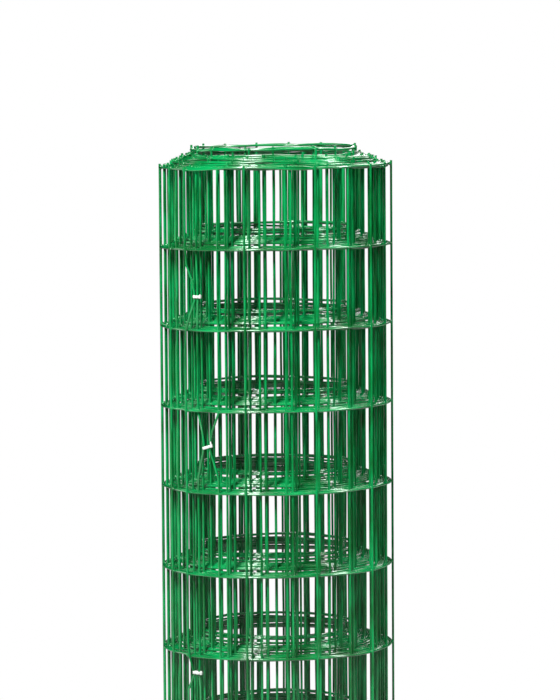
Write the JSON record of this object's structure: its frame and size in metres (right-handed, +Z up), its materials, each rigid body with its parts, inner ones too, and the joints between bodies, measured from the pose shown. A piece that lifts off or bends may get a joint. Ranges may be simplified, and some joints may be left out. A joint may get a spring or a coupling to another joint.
{
  "type": "roll of wire fencing",
  "caption": "Roll of green plastic-coated welded wire mesh, standing on its end, its turns slipped endways like a telescope, the free edge held by cable ties.",
  "frame": {"origin": "on the floor at the axis of the roll, under the lower end of the outermost turn", "axes": "+Z up along the axis of the roll, -Y towards the viewer, with the free edge of the sheet to the left of the front"},
  "size_m": [0.2265, 0.2265, 1.0209],
  "materials": {
    "coated_wire": "glossy green plastic coating over steel wire",
    "cable_tie": "natural white nylon"
  },
  "bodies": {
    "root": {"fence_roll": "coated_wire", "tie_upper": "cable_tie", "tie_middle": "cable_tie", "tie_lower": "cable_tie"}
  },
  "joints": []
}
